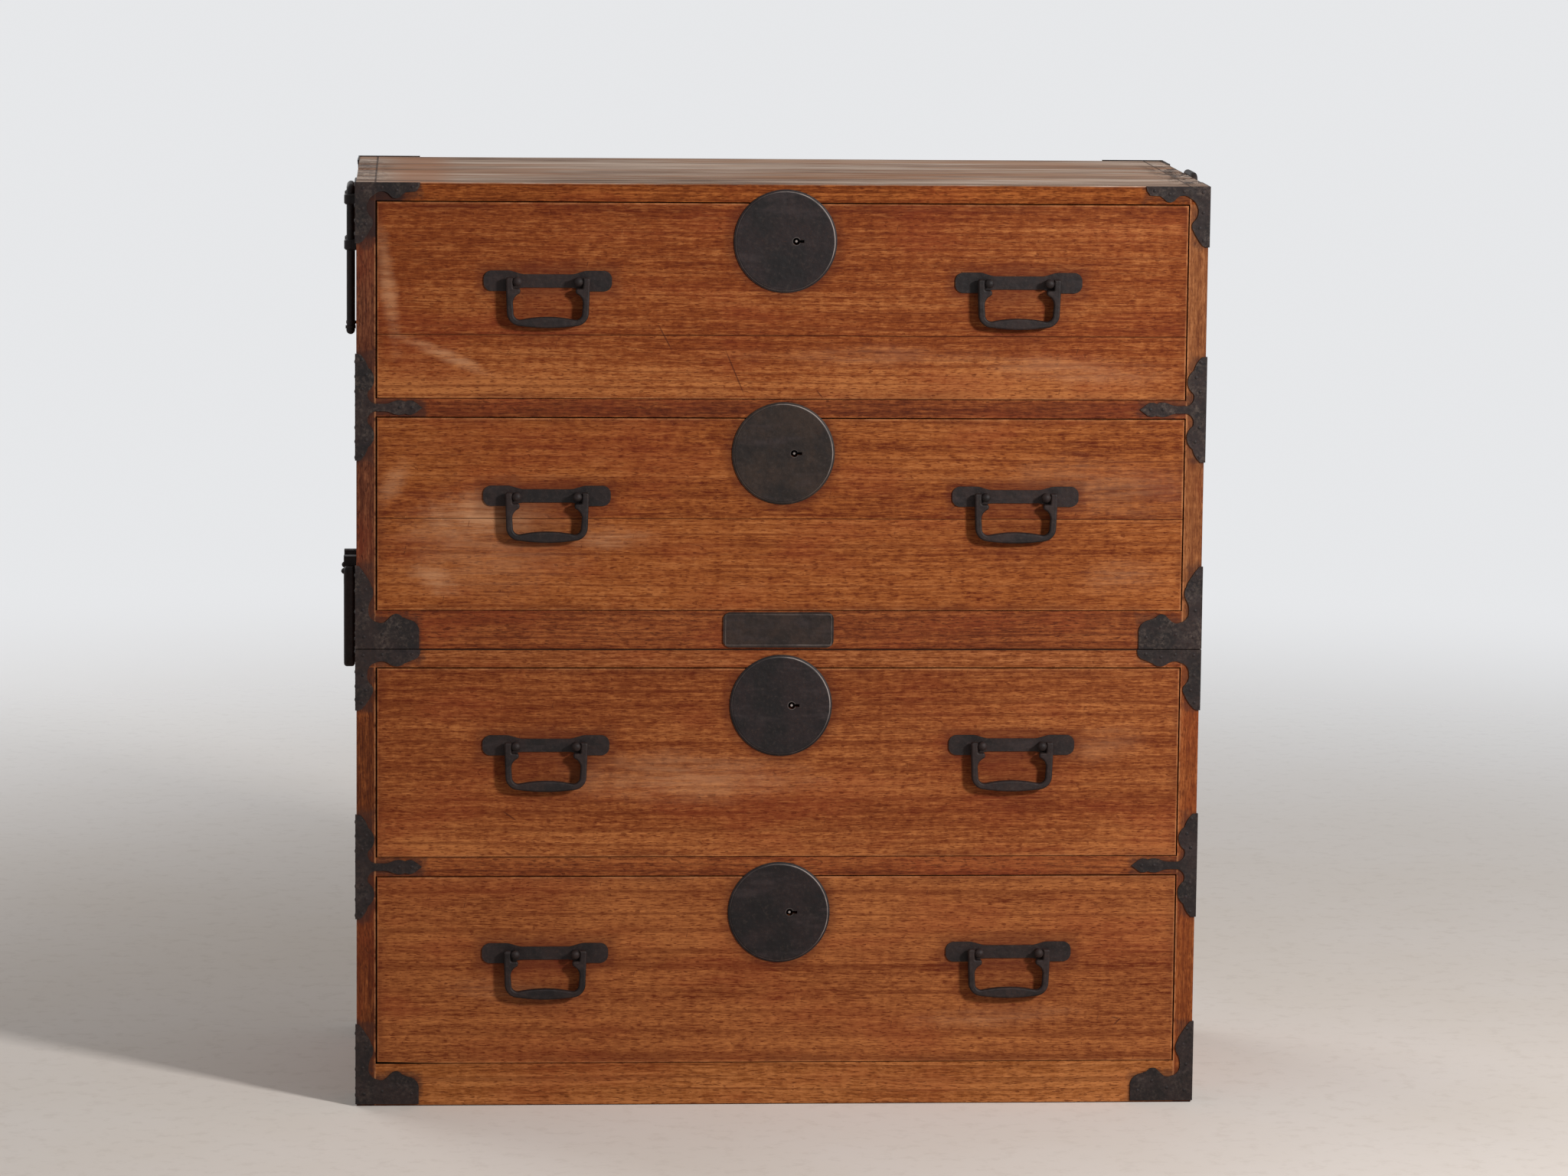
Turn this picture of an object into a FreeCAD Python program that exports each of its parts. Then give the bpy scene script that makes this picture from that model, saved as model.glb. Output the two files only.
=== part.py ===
import FreeCAD, Part
import math
import os

# Isho clothing chest in two stacked cases, each with two full-width drawers.
# Millimetres, +Z up, front faces -Y. The origin is the middle of the footprint, on the floor.

# Case
CASE_W = 940.0
CASE_D = 412.0
CASE_H = 517.5
SIDE_T = 21.0
TOP_T = 20.0
BOTTOM_T = 15.0
BACK_T = 10.0
SHELF_T = 9.0
FOOT_BEVEL = 1.0
RAIL_D = 50.0
SILL_D = 22.0
DADO = 7.0
TENON = 12.0
TENON_SHOULDER = 3.0
RUNNER_W = 25.0
FINGERS = 9
# Heights from the top of a case down: upper drawer opening, divider rail, lower drawer opening
UPPER_HEIGHTS = (218.0, 20.0, 216.0)
LOWER_HEIGHTS = (214.5, 21.0, 214.0)

# Drawers
FRONT_T = 19.0
FRONT_PROUD = 0.5
FRONT_BEVEL = 0.9
SIDE_GAP = 1.5
TOP_GAP = 1.5
BOTTOM_GAP = 0.6
RUN_GAP = 0.3
WALL_T = 10.0
WALL_DROP = 4.0
BACK_DROP = 12.0
DRAWER_BOTTOM_T = 8.0
DRAWER_BACK_GAP = 8.0
# Length and height of the wedge worn off the lowest drawer's lower left edge
WORN_DRAWER = 4
WORN_EDGE = (95.0, 2.2)
LAP = 10.0
LAPS = 5

# Round lock plate, lock case and bolt
PLATE_R = 57.0
PLATE_T = 2.4
PLATE_BEVEL = (3.5, 1.4)
PLATE_X = 1.3
PLATE_DROPS = (42.6, 39.7, 42.7, 41.7)
KEYHOLE_X = 12.0
KEYHOLE_R = 3.9
KEY_PIN_R = 1.4
KEY_PIN_OUT = 1.0
KEY_SLOT_X = 18.2
KEY_SLOT = (5.0, 3.2)
LOCK_CASE = (74.0, 11.0, 62.0)
BOLT = (36.0, 5.0, 56.0)
BOLT_PLAY = 0.3
BOLT_TRAVEL = 10.0
BOLT_INSET = 1.0
MORTISE_PLAY = 1.0
LOCK_WALL = 2.0
LOCK_COVER = 6.0

# Drawer handles
HANDLE_X = 260.0
HANDLE_DROP = 87.5
BACKPLATE_T = 1.5
# The backplate's upper edge from its right end to its middle: x, z and the corner's rounding
BACKPLATE_EDGE = ((70.5, 11.3, 9.0), (41.5, 11.3, 18.0), (28.0, 7.3, 18.0))
POST_X = 33.5
POST_R = 4.25
POST_OUT = 8.5
POST_TIP = 12.6
POST_HEAD_R = 4.9
POST_HEAD = 2.9
POST_SHANK_R = 2.5
CLINCH = (5.0, 1.5, 15.0)
PIN_R = 2.05
PIN_PLAY = 0.06
PIN_REACH = 28.6
BAIL_T = 8.0
BAIL_ROUND = 2.2
# Outer and inner edge from the top of the right leg to the middle of the grip, in the same way
BAIL_OUTER = ((46.4, 4.5, 2.8), (44.6, -47.4, 15.0), (0.0, -52.6, 200.0))
BAIL_INNER = (
    (38.3, 4.5, 0.0), (38.3, -7.5, 1.2), (30.2, -7.5, 2.5), (30.4, -12.6, 2.5), (38.8, -18.0, 11.0),
    (37.0, -43.4, 7.0), (0.0, -36.4, 140.0),
)

# Irons and nails
IRON_T = 1.5
# How far the foot irons end above the case's bottom edge
UPPER_FOOT = 1.0
LOWER_FOOT = 2.5
# How far the upper case's rear irons stand up past its top
REAR_RISE = 1.2
# Radius and height of the nail heads on the front and on the sides
FRONT_NAIL = (1.9, 0.5)
SIDE_NAIL = (2.4, 0.8)
NAIL_SHANK_R = 0.9
NAIL_SHANK = 11.0
NAIL_STAGGER = 3.0

# Carrying bars
BAR_R = 4.5
BAR_X = 478.3
BAR_Y = (-17.0, 40.0)
BAR_TOP = 1019.3
BAR_BEND = 6.5
BAR_FOOT = 849.2
BAR_RAISED = 18.2
FOOT_R = 4.9
COLLAR_R = 5.8
COLLAR_Z = (855.9, 859.1)
GUIDE_Z = ((996.3, 1008.3), (944.9, 956.9))
GUIDE_R = 7.3
GUIDE_PLAY = 0.08
GUIDE_PLATE = (42.0, 1.5)
GUIDE_BEVEL = 1.5
GUIDE_NAIL = 15.0

# Side bails
SIDE_BAIL_X = 479.8
SIDE_BAIL_Z = 580.0
SIDE_BAIL_T = 12.4
SIDE_BAIL_ROUND = 3.4
SIDE_BAIL_OUTER = ((45.0, 7.0, 4.4), (44.0, -108.7, 15.0), (0.0, -109.8, 500.0))
SIDE_BAIL_INNER = ((33.5, 7.0, 0.0), (32.6, -99.1, 9.0), (18.0, -98.1, 30.0), (0.0, -95.5, 40.0))
SIDE_PIN_R = 3.0
SIDE_PIN_REACH = 19.0
LUG_Y = (20.0, 32.5)
LUG_Z = (566.0, 597.7)
LUG_OUT = 16.2
LUG_PLATE_Y = 18.0
LUG_PLATE_Z = (562.0, 601.0)
LUG_DOME = (3.4, 3.0)
LUG_NAIL_Z = (568.0, 595.0)

# Name plate on the upper case's bottom rail
NAME_PLATE = (123.0, 39.5)
NAME_PLATE_X = -2.2
NAME_PLATE_Z = 539.8
NAME_PLATE_R = 8.0
NAME_PLATE_RIM = 3.0
NAME_PLATE_T = 1.8
NAME_PLATE_FIELD = 0.6

# How far a cut or a hidden end runs past the face that it meets, and the slack when edges are picked by place
OVERRUN = 1.0
NEAR = 0.01

# Derived
HALF_W = CASE_W / 2
INNER = HALF_W - SIDE_T
FRONT = -CASE_D / 2
BACK = CASE_D / 2
FACE = FRONT - FRONT_PROUD


def vec(x, y, z):
    return FreeCAD.Vector(x, y, z)


def box(x, y, z):
    """A block between two values on each axis."""
    return Part.makeBox(x[1] - x[0], y[1] - y[0], z[1] - z[0], vec(x[0], y[0], z[0]))


def rod(start, end, radius):
    """A round rod between two points."""
    a = vec(*start)
    run = vec(*end) - a
    return Part.makeCylinder(radius, run.Length, a, run)


def fuse(shapes):
    whole = shapes[0].multiFuse(shapes[1:]) if len(shapes) > 1 else shapes[0]
    return whole.removeSplitter()


def mirror_x(shape):
    return shape.mirror(vec(0, 0, 0), vec(1, 0, 0))


def mirror_y(shape):
    return shape.mirror(vec(0, 0, 0), vec(0, 1, 0))


def outline_face(points):
    """A face in the XZ plane. An entry of two points is an arc through the first to the second."""
    start = vec(points[0][0], 0, points[0][1])
    here = start
    edges = []
    for entry in points[1:]:
        if isinstance(entry[0], tuple):
            middle = vec(entry[0][0], 0, entry[0][1])
            end = vec(entry[1][0], 0, entry[1][1])
            edges.append(Part.Arc(here, middle, end).toShape())
        else:
            end = vec(entry[0], 0, entry[1])
            edges.append(Part.LineSegment(here, end).toShape())
        here = end
    if not here.isEqual(start, 1e-6):
        edges.append(Part.LineSegment(here, start).toShape())
    return Part.Face(Part.Wire(edges))


def heading(start, end):
    """The unit step from one corner of an outline towards another."""
    return vec(end[0] - start[0], 0, end[1] - start[1]).normalize()


def rounded_outline(corners):
    """Outline entries of a polygon with corners of x, z and a rounding radius."""
    entries = []
    for i, corner in enumerate(corners):
        point = vec(corner[0], 0, corner[1])
        back = heading(corner, corners[i - 1])
        ahead = heading(corner, corners[(i + 1) % len(corners)])
        half = back.getAngle(ahead) / 2
        reach = corner[2] / math.tan(half)
        start = point + back * reach
        entries.append((start.x, start.z))
        if corner[2] > 0:
            middle = point + (back + ahead).normalize() * (corner[2] / math.sin(half) - corner[2])
            end = point + ahead * reach
            entries.append(((middle.x, middle.z), (end.x, end.z)))
    return entries


def both_halves(edge):
    """An edge that is given from its right end to its middle, carried on to its left end."""
    return list(edge) + [(-x, z, rounding) for x, z, rounding in reversed(edge) if x > 0]


def cap(radius, height):
    """A spherical cap standing on the plane y = 0, its crown towards -Y."""
    sphere_r = (radius ** 2 + height ** 2) / (2 * height)
    ball = Part.makeSphere(sphere_r, vec(0, sphere_r - height, 0))
    return ball.common(box((-sphere_r, sphere_r), (-2 * sphere_r, 0), (-sphere_r, sphere_r)))


def export(name, *solids):
    """Writes one node: its solids stay separate."""
    shape = solids[0] if len(solids) == 1 else Part.makeCompound(list(solids))
    for solid in shape.Solids:
        if not solid.isValid() or solid.Volume <= 0:
            raise ValueError(name + " holds a faulty solid")
    shape.exportStep("parts/" + name + ".step")
    print(name, len(shape.Solids), "solids", round(shape.Volume / 1000, 1), "cm3")


def heights(case_top, steps):
    """The level of each opening and rail of a case, from its top down."""
    upper_top = case_top - TOP_T
    upper_floor = upper_top - steps[0]
    lower_top = upper_floor - steps[1]
    lower_floor = lower_top - steps[2]
    return upper_top, upper_floor, lower_top, lower_floor


def finger_bands(start):
    """The depth-wise bands of every second finger of the box joint, from the first or the second one."""
    pitch = CASE_D / FINGERS
    return [(FRONT + pitch * i, FRONT + pitch * (i + 1)) for i in range(start, FINGERS, 2)]


def rail_shape(depth, floor, top):
    """A front rail with a tenon at each end."""
    rail = box((-INNER, INNER), (FRONT, FRONT + depth), (floor, top))
    tenons = box(
        (-INNER - TENON, INNER + TENON),
        (FRONT + TENON_SHOULDER, FRONT + depth - TENON_SHOULDER),
        (floor + TENON_SHOULDER, top - TENON_SHOULDER),
    )
    return fuse([rail, tenons])


def bolt_mortise(level):
    """The slot in the underside of a rail that a drawer's lock bolt rises into."""
    half = BOLT[0] / 2 + MORTISE_PLAY
    front = lock_front() + LOCK_WALL
    y = (front - MORTISE_PLAY, front + BOLT[1] + MORTISE_PLAY)
    return box((PLATE_X - half, PLATE_X + half), y, (level, level + BOLT_TRAVEL + MORTISE_PLAY))


def bevel_foot(board, base):
    """Takes off the outer arrises of a board that stands at a case's lower edge."""
    foot = [edge for edge in board.Edges if edge.BoundBox.ZMax < base + NEAR]
    outer = [edge for edge in foot if edge.BoundBox.YMax < FRONT + NEAR or edge.BoundBox.XMin > HALF_W - NEAR]
    return board.makeChamfer(FOOT_BEVEL, outer)


def case(name, base, steps):
    """The boards of one case."""
    top = base + CASE_H
    upper_top, upper_floor, lower_top, lower_floor = heights(top, steps)
    sill = bevel_foot(rail_shape(SILL_D, base, lower_floor), base)
    divider = rail_shape(RAIL_D, lower_top, upper_floor)
    width = (-INNER - DADO, INNER + DADO)
    shelf = box(width, (FRONT + RAIL_D, BACK - BACK_T), (upper_floor - SHELF_T, upper_floor))
    inside_depth = (FRONT + SILL_D, BACK - BACK_T)
    bottom = box(width, inside_depth, (base, base + BOTTOM_T))
    runner = box((INNER - RUNNER_W, INNER), inside_depth, (base + BOTTOM_T, lower_floor))
    back = box((-INNER, INNER), (BACK - BACK_T, BACK), (base, upper_top))
    side = bevel_foot(box((INNER, HALF_W), (FRONT, BACK), (base, top)), base)
    for band in finger_bands(0):
        side = side.cut(box((INNER, HALF_W), band, (upper_top, top)))
    for inner_piece in (sill, divider, shelf, bottom):
        side = side.cut(inner_piece)
    lid = box((-HALF_W, HALF_W), (FRONT, BACK), (upper_top, top))
    for band in finger_bands(1):
        for end in ((-HALF_W, -INNER), (INNER, HALF_W)):
            lid = lid.cut(box(end, band, (upper_top, top)))
    export(name + "_top_board", lid.cut(bolt_mortise(upper_top)))
    export(name + "_right_side", side)
    export(name + "_left_side", mirror_x(side))
    export(name + "_bottom_board", bottom, runner, mirror_x(runner))
    export(name + "_back_panel", back)
    export(name + "_divider_rail", divider.cut(bolt_mortise(lower_top)))
    export(name + "_dust_shelf", shelf)
    export(name + "_bottom_rail", sill)


# Outlines of the irons: u runs in from the side of the case.
# Corner iron of a case's top, with v down from the top
TOP_CORNERS = {
    "upper": (
        (0, 0), (70, 0), (69, 5.4), (65.4, 10), (54, 10.9), (49.6, 14.2), ((43.6, 17.6), (37.6, 14.8)),
        ((29, 9.9), (21.4, 12.4)), ((14.4, 18.6), (11.6, 25.4)), ((12.2, 32.4), (16, 38.2)),
        ((18.4, 42.8), (17.2, 48.2)), ((12.5, 57), (6.5, 65.4)), (2.6, 67.2), (0, 67.2),
    ),
    "lower": (
        (0, 0), (70.4, 0), (70.4, 3), ((68.6, 7.8), (63.5, 11)), (53, 15.4), ((44, 18.8), (36.5, 16)),
        ((28.5, 13), (21, 14.8)),
        ((14.5, 19), (12, 27)), ((12, 33), (15.6, 39)), ((18.4, 44), (17, 50)), ((12.5, 58.5), (6, 66.5)),
        (2.6, 68.4), (0, 68.4),
    ),
}
# T strap at the divider rail, with v from the middle of the rail
STRAP_HALF = (
    (0, 58.9), (4, 58.9), ((9.7, 52), (12.9, 44)), ((19.4, 34), (12.9, 18)), ((14, 8.4), (20.5, 4.2)),
    (29, 4.1), ((34.5, 4.5), (39, 6)), ((47, 8), (54, 6.6)), ((59.5, 7.9), (65.5, 5.4)),
)
STRAP_TIP = (72.6, 0)
# Corner iron of a case's foot, with v up from the case's bottom edge
SILL_CORNER = (
    (69.2, 18), ((66.4, 28.6), (58, 33.4)), (50.5, 36.2), ((43.6, 40), (37.4, 36.4)), (32.6, 31.8),
    ((28.2, 29.8), (23, 30.6)), ((15.6, 35.2), (13.2, 43)), ((13.8, 50), (16.4, 56)),
    ((18.6, 63.5), (16.4, 71)), ((14.6, 76), (12.2, 80)), (7, 88), (2.5, 93.5), (0, 93.5),
)


def strap_outline():
    """The whole outline of a T strap: its upper half, its tip and the mirrored lower half."""
    corners = [(entry[-1] if isinstance(entry[0], tuple) else entry) for entry in STRAP_HALF] + [STRAP_TIP]
    lower = []
    for entry, start in reversed(list(zip(STRAP_HALF[1:] + (STRAP_TIP,), corners))):
        end = (start[0], -start[1])
        if isinstance(entry[0], tuple):
            lower.append(((entry[0][0], -entry[0][1]), end))
        else:
            lower.append(end)
    return list(STRAP_HALF) + [STRAP_TIP] + lower


# Nail places on the three irons, in the same u and v
TOP_NAILS = ((7, 6.5), (28, 5.5), (44, 8.5), (61, 5), (6.5, 29), (10, 46), (5.5, 60))
STRAP_NAILS = ((5.5, 53), (10.5, 36), (6, 20), (6, -20), (10.5, -36), (5.5, -53), (47, 0), (61, 0))
SILL_NAILS = ((8, 14), (28, 17), (45, 25), (61, 14), (6.5, 44), (10, 67), (6, 85))


def nail(radius, height):
    """A domed nail standing on the plane y = 0, its head towards -Y."""
    shank = rod((0, -height / 4, 0), (0, NAIL_SHANK, 0), NAIL_SHANK_R)
    return fuse([cap(radius, height), shank])


def side_nail(y, z, x=HALF_W + IRON_T):
    """A nail driven into the right side."""
    peg = nail(*SIDE_NAIL)
    peg.rotate(vec(0, 0, 0), vec(0, 0, 1), 90)
    peg.translate(vec(x, y, z))
    return peg


def folded_iron(outline, nails, level, up):
    """One iron at the front right edge, folded from the front onto the side, with its nails."""
    flat = outline_face(outline).extrude(vec(0, IRON_T, 0))
    if up < 0:
        flat = flat.mirror(vec(0, 0, 0), vec(0, 0, 1))
    front_flange = mirror_x(flat)
    front_flange.translate(vec(HALF_W, FRONT - IRON_T, level))
    side_flange = flat.copy()
    side_flange.rotate(vec(0, 0, 0), vec(0, 0, 1), 90)
    side_flange.translate(vec(HALF_W + IRON_T, FRONT, level))
    span = front_flange.BoundBox
    fold = box((HALF_W, HALF_W + IRON_T), (FRONT - IRON_T, FRONT), (span.ZMin, span.ZMax))
    pegs = []
    for u, v in nails:
        front_peg = nail(*FRONT_NAIL)
        front_peg.translate(vec(HALF_W - u, FRONT - IRON_T, level + up * v))
        pegs += [front_peg, side_nail(FRONT + u, level + up * (v - NAIL_STAGGER))]
    iron = fuse([front_flange, side_flange, fold]).cut(Part.makeCompound(pegs))
    return iron.Solids[0], pegs


def case_irons(name, base, steps, foot):
    """Corner irons at the front and the rear, T straps at the front, and all their nails."""
    top = base + CASE_H
    middle = heights(top, steps)[1] - steps[1] / 2
    rear_top = top + REAR_RISE if name == "upper" else top
    foot_iron = folded_iron(((0, foot), (SILL_CORNER[0][0], foot)) + SILL_CORNER, SILL_NAILS, base, 1)
    strap = folded_iron(strap_outline(), STRAP_NAILS, middle, 1)
    rear_irons = [folded_iron(TOP_CORNERS[name], TOP_NAILS, rear_top, -1), foot_iron]
    right = [folded_iron(TOP_CORNERS[name], TOP_NAILS, top, -1), foot_iron, strap]
    right += [(mirror_y(iron), [mirror_y(peg) for peg in pegs]) for iron, pegs in rear_irons]
    both = right + [(mirror_x(iron), [mirror_x(peg) for peg in pegs]) for iron, pegs in right]
    export(name + "_irons", *[iron for iron, pegs in both])
    export(name + "_nails", *[peg for iron, pegs in both for peg in pegs])


def lock_front():
    """The depth at which the lock case starts, inside the back of a drawer front."""
    return FACE + FRONT_T - LOCK_CASE[1]


def lock_block(front_top):
    """The block that the lock case fills, flush with the back of the front board."""
    half = LOCK_CASE[0] / 2
    y = (lock_front(), FACE + FRONT_T)
    top = front_top - LOCK_COVER
    return box((PLATE_X - half, PLATE_X + half), y, (top - LOCK_CASE[2], top))


def bolt_block(front_top, play):
    """The lock bolt at rest, or with some play its channel, which is open to the top."""
    half = BOLT[0] / 2 + play
    y = lock_front() + LOCK_WALL
    top = front_top + OVERRUN if play else front_top - BOLT_INSET
    low = front_top - BOLT_INSET - BOLT[2] - play
    return box((PLATE_X - half, PLATE_X + half), (y - play, y + BOLT[1] + play), (low, top))


def keyhole(plate_z, y):
    """The key's way in: a round hole and a bit slot beside it."""
    hole_x = PLATE_X + KEYHOLE_X
    slot_x = PLATE_X + KEY_SLOT_X
    half_w = KEY_SLOT[0] / 2
    half_h = KEY_SLOT[1] / 2
    hole = rod((hole_x, y[0], plate_z), (hole_x, y[1], plate_z), KEYHOLE_R)
    slot = box((slot_x - half_w, slot_x + half_w), y, (plate_z - half_h, plate_z + half_h))
    return Part.makeCompound([hole, slot])


def lock_plate(plate_z):
    """The round plate: a disc with a bevelled rim."""
    back = (PLATE_X, FACE, plate_z)
    width, height = PLATE_BEVEL
    rim = (PLATE_X, FACE - PLATE_T + height, plate_z)
    disc = rod(back, rim, PLATE_R)
    bevel = Part.makeCone(PLATE_R, PLATE_R - width, height, vec(*rim), vec(0, -1, 0))
    return fuse([disc, bevel]).cut(keyhole(plate_z, (FACE - PLATE_T, FACE)))


def lock_case(front_top, plate_z):
    """The iron lock case with its bolt channel and the pin that a barrelled key turns on."""
    body = lock_block(front_top).cut(bolt_block(front_top, BOLT_PLAY))
    y = lock_front()
    body = body.cut(keyhole(plate_z, (y, y + LOCK_WALL)))
    pin_x = PLATE_X + KEYHOLE_X
    pin = rod((pin_x, FACE + FRONT_T - OVERRUN, plate_z), (pin_x, FACE - KEY_PIN_OUT, plate_z), KEY_PIN_R)
    return fuse([body, pin])


def lock_bolt(front_top, plate_z):
    """The flat bolt, with a slot that rides past the key pin."""
    half = KEY_PIN_R + BOLT_PLAY
    x = PLATE_X + KEYHOLE_X
    y = lock_front()
    z = (plate_z - BOLT_TRAVEL - half, plate_z + half)
    slot = box((x - half, x + half), (y, y + LOCK_CASE[1]), z)
    return bolt_block(front_top, 0).cut(slot)


def laps(low, high, start):
    """Every second lap of the corner joint between a drawer's front and its side walls."""
    pitch = (high - low) / LAPS
    return [(low + pitch * i, low + pitch * (i + 1)) for i in range(start, LAPS, 2)]


def backplate():
    """A plate on the wood's face: wide rounded ends that taper to a narrower waist."""
    upper = both_halves(BACKPLATE_EDGE)
    lower = [(x, -z, rounding) for x, z, rounding in reversed(upper)]
    return outline_face(rounded_outline(upper + lower)).extrude(vec(0, -BACKPLATE_T, 0))


def post():
    """A split post: round stem with a domed head and an eye, a shank and two clinched legs."""
    stem = rod((0, -BACKPLATE_T, 0), (0, -POST_TIP, 0), POST_R)
    head = cap(POST_HEAD_R, POST_HEAD)
    head.translate(vec(0, -POST_TIP, 0))
    shank = rod((0, -BACKPLATE_T - OVERRUN, 0), (0, FRONT_T, 0), POST_SHANK_R)
    half = CLINCH[0] / 2
    clinch = box((-half, half), (FRONT_T, FRONT_T + CLINCH[1]), (-CLINCH[2], CLINCH[2]))
    eye = rod((-2 * POST_R, -POST_OUT, 0), (2 * POST_R, -POST_OUT, 0), PIN_R + PIN_PLAY)
    return fuse([stem, head, shank, clinch]).cut(eye)


def bail(outer, inner, thick, rounding, pin_r, pin_reach):
    """A forged bail that hangs from the X axis: two legs, an arched grip and two inward pins."""
    outline = both_halves(outer) + both_halves(inner)[::-1]
    flat = outline_face(rounded_outline(outline)).extrude(vec(0, thick, 0))
    flat.translate(vec(0, -thick / 2, 0))
    rims = [edge for edge in flat.Edges if edge.BoundBox.YLength < NEAR]
    body = flat.makeFillet(rounding, rims)
    root = inner[0][0] + OVERRUN
    pins = [rod((side * root, 0, 0), (side * pin_reach, 0, 0), pin_r) for side in (-1, 1)]
    return fuse([body] + pins)


def drawer_bail():
    return bail(BAIL_OUTER, BAIL_INNER, BAIL_T, BAIL_ROUND, PIN_R, PIN_REACH)


def drawer(number, opening_top, opening_floor, plate_drop):
    """One drawer: box, lock, handles."""
    name = "drawer_" + str(number)
    top = opening_top - TOP_GAP
    floor = opening_floor + BOTTOM_GAP
    half = INNER - SIDE_GAP
    inside = half - WALL_T
    board_back = FACE + FRONT_T
    rear = BACK - BACK_T - DRAWER_BACK_GAP
    tray = (opening_floor + RUN_GAP, opening_floor + RUN_GAP + DRAWER_BOTTOM_T)
    wall_top = top - WALL_DROP
    plate_z = opening_top - plate_drop
    handle_z = opening_top - HANDLE_DROP

    bottom = box((-half, half), (board_back - LAP, rear), tray)
    side = box((inside, half), (board_back - LAP, rear), (tray[1], wall_top))
    for band in laps(tray[1], wall_top, 0):
        side = side.cut(box((inside, half), (board_back - LAP, board_back), band))
    back = box((-inside, inside), (rear - WALL_T, rear), (tray[1], top - BACK_DROP))
    export(name + "_bottom", bottom)
    export(name + "_walls", side, mirror_x(side), back)

    posts = []
    plates = []
    for x in (-HANDLE_X, HANDLE_X):
        plate = backplate()
        pair = []
        for offset in (-POST_X, POST_X):
            one = post()
            one.translate(vec(offset, 0, 0))
            pair.append(one)
        plate = plate.cut(Part.makeCompound(pair))
        for piece in [plate] + pair:
            piece.translate(vec(x, FACE, handle_z))
        plates.append(plate)
        posts += pair
    export(name + "_handle_mounts", *(plates + posts))

    board = box((-half, half), (FACE, board_back), (floor, top))
    rims = [edge for edge in board.Edges if edge.BoundBox.YMax < FACE + NEAR]
    board = board.makeChamfer(FRONT_BEVEL, rims)
    board = board.cut(bottom).cut(side).cut(mirror_x(side))
    board = board.cut(lock_block(top)).cut(bolt_block(top, BOLT_PLAY))
    board = board.cut(keyhole(plate_z, (FACE, lock_front())))
    board = board.cut(Part.makeCompound(posts))
    if number == WORN_DRAWER:
        wedge = outline_face([(-half, floor), (-half, floor + WORN_EDGE[1]), (WORN_EDGE[0] - half, floor)])
        wedge.translate(vec(0, FACE, 0))
        board = board.cut(wedge.extrude(vec(0, FRONT_T - LAP, 0)))
    export(name + "_front", board.Solids[0])
    export(name + "_lock", lock_plate(plate_z), lock_case(top, plate_z))
    export(name + "_lock_bolt", lock_bolt(top, plate_z))

    for side_name, x in (("left", -HANDLE_X), ("right", HANDLE_X)):
        handle = drawer_bail()
        handle.translate(vec(x, FACE - POST_OUT, handle_z))
        export(name + "_bail_" + side_name, handle)


def guide(y, z):
    """An eye on the right side that one leg of a carrying bar slides in, with its two nails."""
    block = box((HALF_W, BAR_X), (y - GUIDE_R, y + GUIDE_R), z)
    nose = rod((BAR_X, y, z[0]), (BAR_X, y, z[1]), GUIDE_R)
    body = fuse([block, nose])
    rims = [edge for edge in body.Edges if edge.BoundBox.ZLength < NEAR and edge.BoundBox.XMax > BAR_X + NEAR]
    body = body.makeChamfer(GUIDE_BEVEL, rims)
    half = GUIDE_PLATE[0] / 2
    plate = box((HALF_W, HALF_W + GUIDE_PLATE[1]), (y - half, y + half), z)
    bore = rod((BAR_X, y, z[0] - OVERRUN), (BAR_X, y, z[1] + OVERRUN), BAR_R + GUIDE_PLAY)
    middle = (z[0] + z[1]) / 2
    pegs = [side_nail(y + offset, middle, HALF_W + GUIDE_PLATE[1]) for offset in (-GUIDE_NAIL, GUIDE_NAIL)]
    return fuse([body, plate]).cut(bore).cut(Part.makeCompound(pegs)), pegs


def carry_bar():
    """An inverted U of round bar on the right side, with a collar and a ball on each foot."""
    bend_z = BAR_TOP - BAR_R - BAR_BEND
    crown_z = BAR_TOP - BAR_R
    # How far the middle of the bend lies from each side of the corner that it rounds
    corner = BAR_BEND * (1 - math.sqrt(0.5))
    ends = [vec(BAR_X, y, BAR_FOOT + FOOT_R) for y in BAR_Y]
    knees = [vec(BAR_X, y, bend_z) for y in BAR_Y]
    shoulders = [vec(BAR_X, y, crown_z) for y in (BAR_Y[0] + BAR_BEND, BAR_Y[1] - BAR_BEND)]
    corners = [vec(BAR_X, y, crown_z - corner) for y in (BAR_Y[0] + corner, BAR_Y[1] - corner)]
    path = Part.Wire([
        Part.LineSegment(ends[0], knees[0]).toShape(),
        Part.Arc(knees[0], corners[0], shoulders[0]).toShape(),
        Part.LineSegment(shoulders[0], shoulders[1]).toShape(),
        Part.Arc(shoulders[1], corners[1], knees[1]).toShape(),
        Part.LineSegment(knees[1], ends[1]).toShape(),
    ])
    section = Part.Wire(Part.makeCircle(BAR_R, ends[0], vec(0, 0, 1)))
    pieces = [path.makePipeShell([section], True, False)]
    for y in BAR_Y:
        pieces.append(Part.makeSphere(FOOT_R, vec(BAR_X, y, BAR_FOOT + FOOT_R)))
        pieces.append(rod((BAR_X, y, COLLAR_Z[0]), (BAR_X, y, COLLAR_Z[1]), COLLAR_R))
    return fuse(pieces)


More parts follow.
